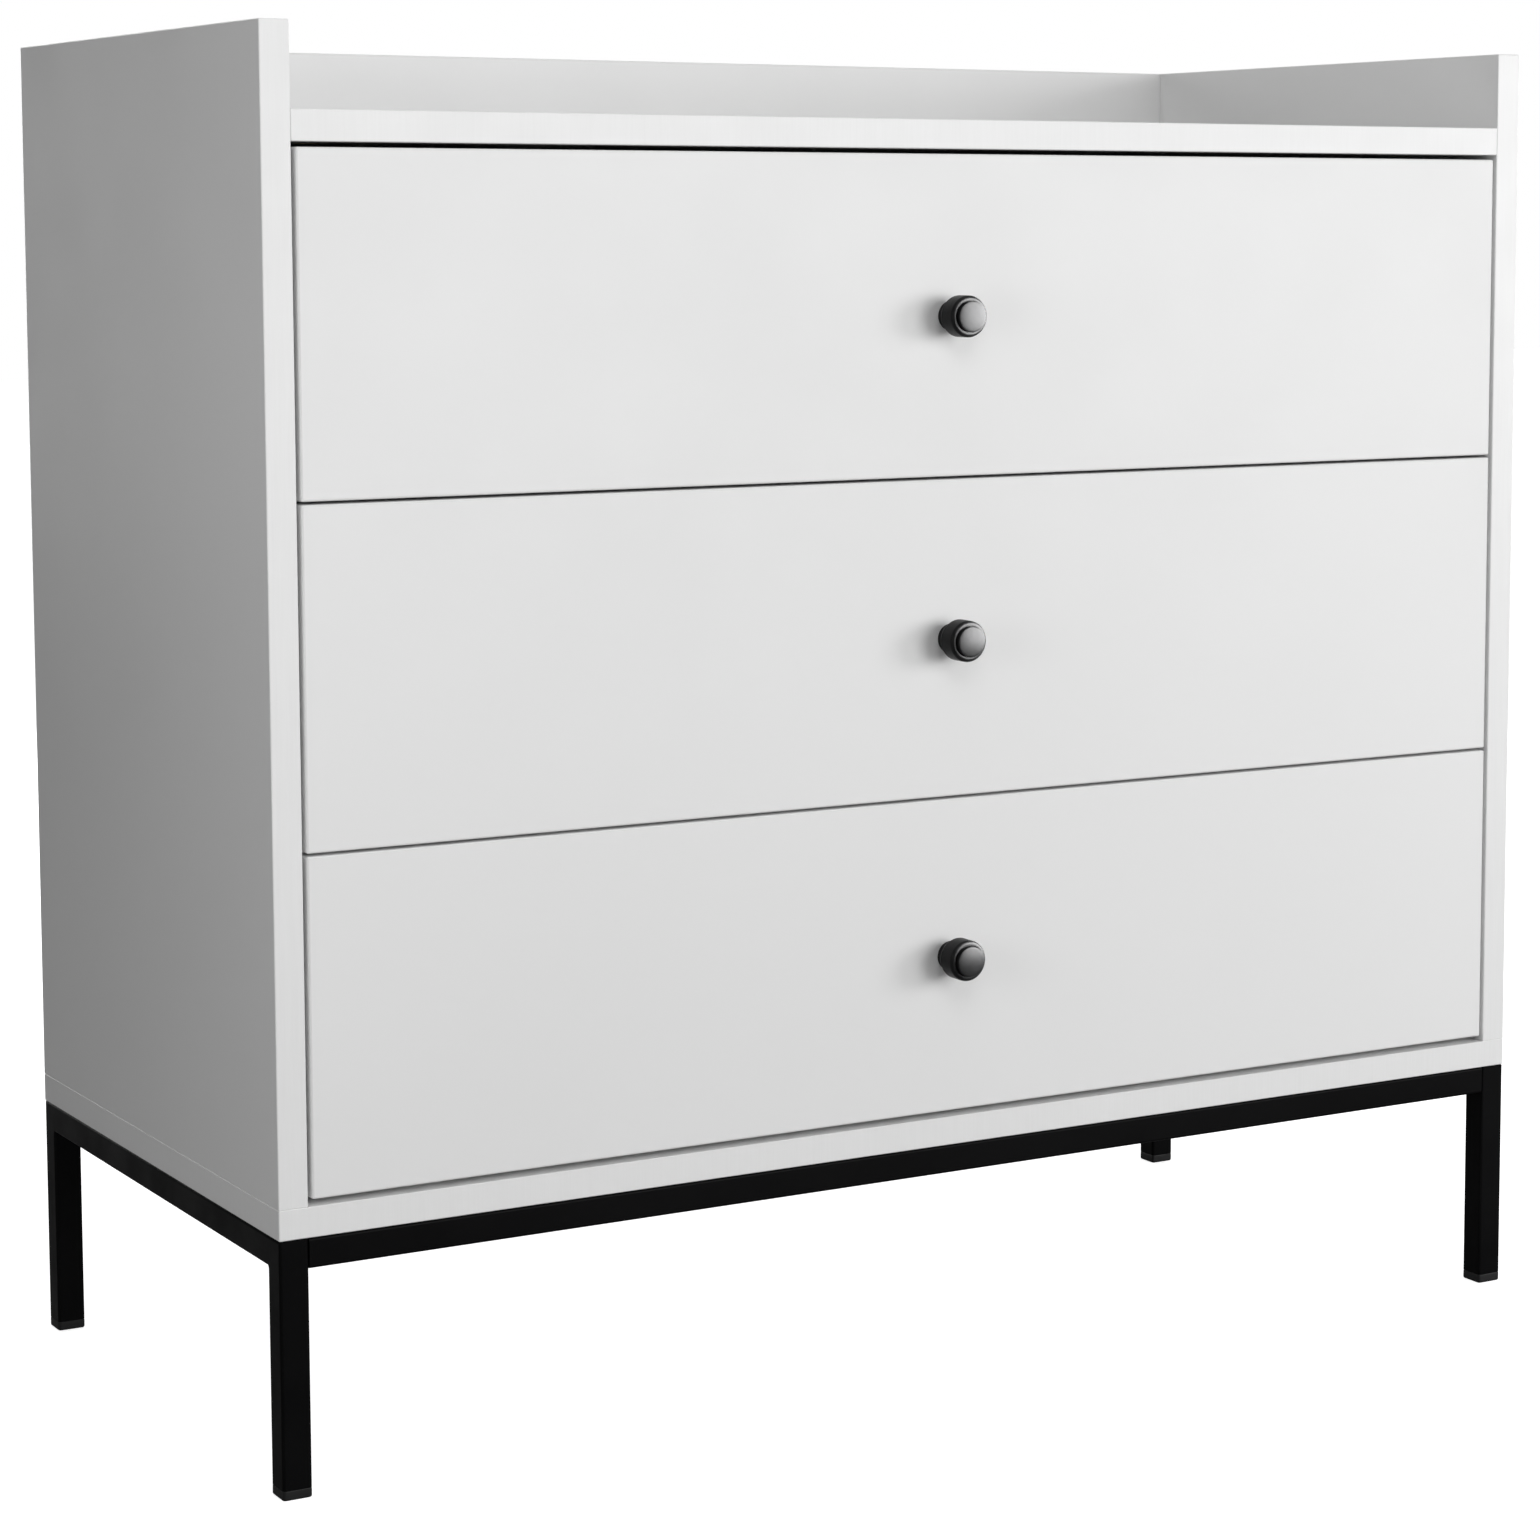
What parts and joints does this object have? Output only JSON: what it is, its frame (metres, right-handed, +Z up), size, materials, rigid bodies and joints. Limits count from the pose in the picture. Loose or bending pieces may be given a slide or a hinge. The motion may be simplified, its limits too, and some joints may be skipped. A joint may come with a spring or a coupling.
{
  "type": "changing table",
  "caption": "Chest-style changing table: rimmed changing surface over a stack of inset drawers with round knobs, on a square-tube leg frame.",
  "frame": {"origin": "on the floor, at the centre of the bounding box, knobs included", "axes": "+X to the right seen from the front, -Y out of the drawer fronts, +Z up"},
  "size_m": [0.895, 0.4384, 0.84],
  "materials": {
    "white_laminate": "smooth matt white melamine on particle board, banded edges",
    "hardboard": "white foil on thin hardboard",
    "black_steel": "satin black powder coat",
    "black_plastic": "moulded, satin",
    "black_knob": "satin black lacquer",
    "zinc_steel": "zinc plated",
    "runner_steel": "bright zinc plated sheet",
    "beech": "raw beech, fluted"
  },
  "bodies": {
    "cabinet": {"left_side_panel": "white_laminate", "right_side_panel": "white_laminate", "top_panel": "white_laminate", "rim_board": "white_laminate", "bottom_panel": "white_laminate", "back_panel": "hardboard", "front_left_leg": "black_steel", "front_right_leg": "black_steel", "rear_left_leg": "black_steel", "rear_right_leg": "black_steel", "front_rail": "black_steel", "rear_rail": "black_steel", "left_rail": "black_steel", "right_rail": "black_steel", "feet": "black_plastic", "carcass_cams": "zinc_steel", "carcass_cam_bolts": "zinc_steel", "frame_screws": "zinc_steel", "runner_screws": "zinc_steel", "carcass_dowels": "beech", "top_drawer_fixed_runners": "runner_steel", "middle_drawer_fixed_runners": "runner_steel", "bottom_drawer_fixed_runners": "runner_steel"},
    "top_drawer": {"top_drawer_front": "white_laminate", "top_drawer_left_side": "white_laminate", "top_drawer_right_side": "white_laminate", "top_drawer_back": "white_laminate", "top_drawer_bottom": "hardboard", "top_drawer_knob": "black_knob", "top_drawer_knob_screw": "zinc_steel", "top_drawer_cams": "zinc_steel", "top_drawer_cam_bolts": "zinc_steel", "top_drawer_screws": "zinc_steel", "top_drawer_moving_runners": "runner_steel"},
    "top_drawer_cages": {"top_drawer_ball_cages": "runner_steel"},
    "middle_drawer": {"middle_drawer_front": "white_laminate", "middle_drawer_left_side": "white_laminate", "middle_drawer_right_side": "white_laminate", "middle_drawer_back": "white_laminate", "middle_drawer_bottom": "hardboard", "middle_drawer_knob": "black_knob", "middle_drawer_knob_screw": "zinc_steel", "middle_drawer_cams": "zinc_steel", "middle_drawer_cam_bolts": "zinc_steel", "middle_drawer_screws": "zinc_steel", "middle_drawer_moving_runners": "runner_steel"},
    "middle_drawer_cages": {"middle_drawer_ball_cages": "runner_steel"},
    "bottom_drawer": {"bottom_drawer_front": "white_laminate", "bottom_drawer_left_side": "white_laminate", "bottom_drawer_right_side": "white_laminate", "bottom_drawer_back": "white_laminate", "bottom_drawer_bottom": "hardboard", "bottom_drawer_knob": "black_knob", "bottom_drawer_knob_screw": "zinc_steel", "bottom_drawer_cams": "zinc_steel", "bottom_drawer_cam_bolts": "zinc_steel", "bottom_drawer_screws": "zinc_steel", "bottom_drawer_moving_runners": "runner_steel"},
    "bottom_drawer_cages": {"bottom_drawer_ball_cages": "runner_steel"}
  },
  "joints": [
    {"name": "top_drawer_slide", "type": "slide", "parent": "cabinet", "child": "top_drawer", "axis": [0, -1, 0], "range_m": [0, 0.26]},
    {"name": "top_drawer_cage_slide", "type": "slide", "parent": "cabinet", "child": "top_drawer_cages", "axis": [0, -1, 0], "range_m": [0, 0.13]},
    {"name": "middle_drawer_slide", "type": "slide", "parent": "cabinet", "child": "middle_drawer", "axis": [0, -1, 0], "range_m": [0, 0.26]},
    {"name": "middle_drawer_cage_slide", "type": "slide", "parent": "cabinet", "child": "middle_drawer_cages", "axis": [0, -1, 0], "range_m": [0, 0.13]},
    {"name": "bottom_drawer_slide", "type": "slide", "parent": "cabinet", "child": "bottom_drawer", "axis": [0, -1, 0], "range_m": [0, 0.26]},
    {"name": "bottom_drawer_cage_slide", "type": "slide", "parent": "cabinet", "child": "bottom_drawer_cages", "axis": [0, -1, 0], "range_m": [0, 0.13]}
  ],
  "couplings": [
    {"joint": "top_drawer_cage_slide", "follows": "top_drawer_slide", "ratio": 0.5},
    {"joint": "middle_drawer_cage_slide", "follows": "middle_drawer_slide", "ratio": 0.5},
    {"joint": "bottom_drawer_cage_slide", "follows": "bottom_drawer_slide", "ratio": 0.5}
  ]
}
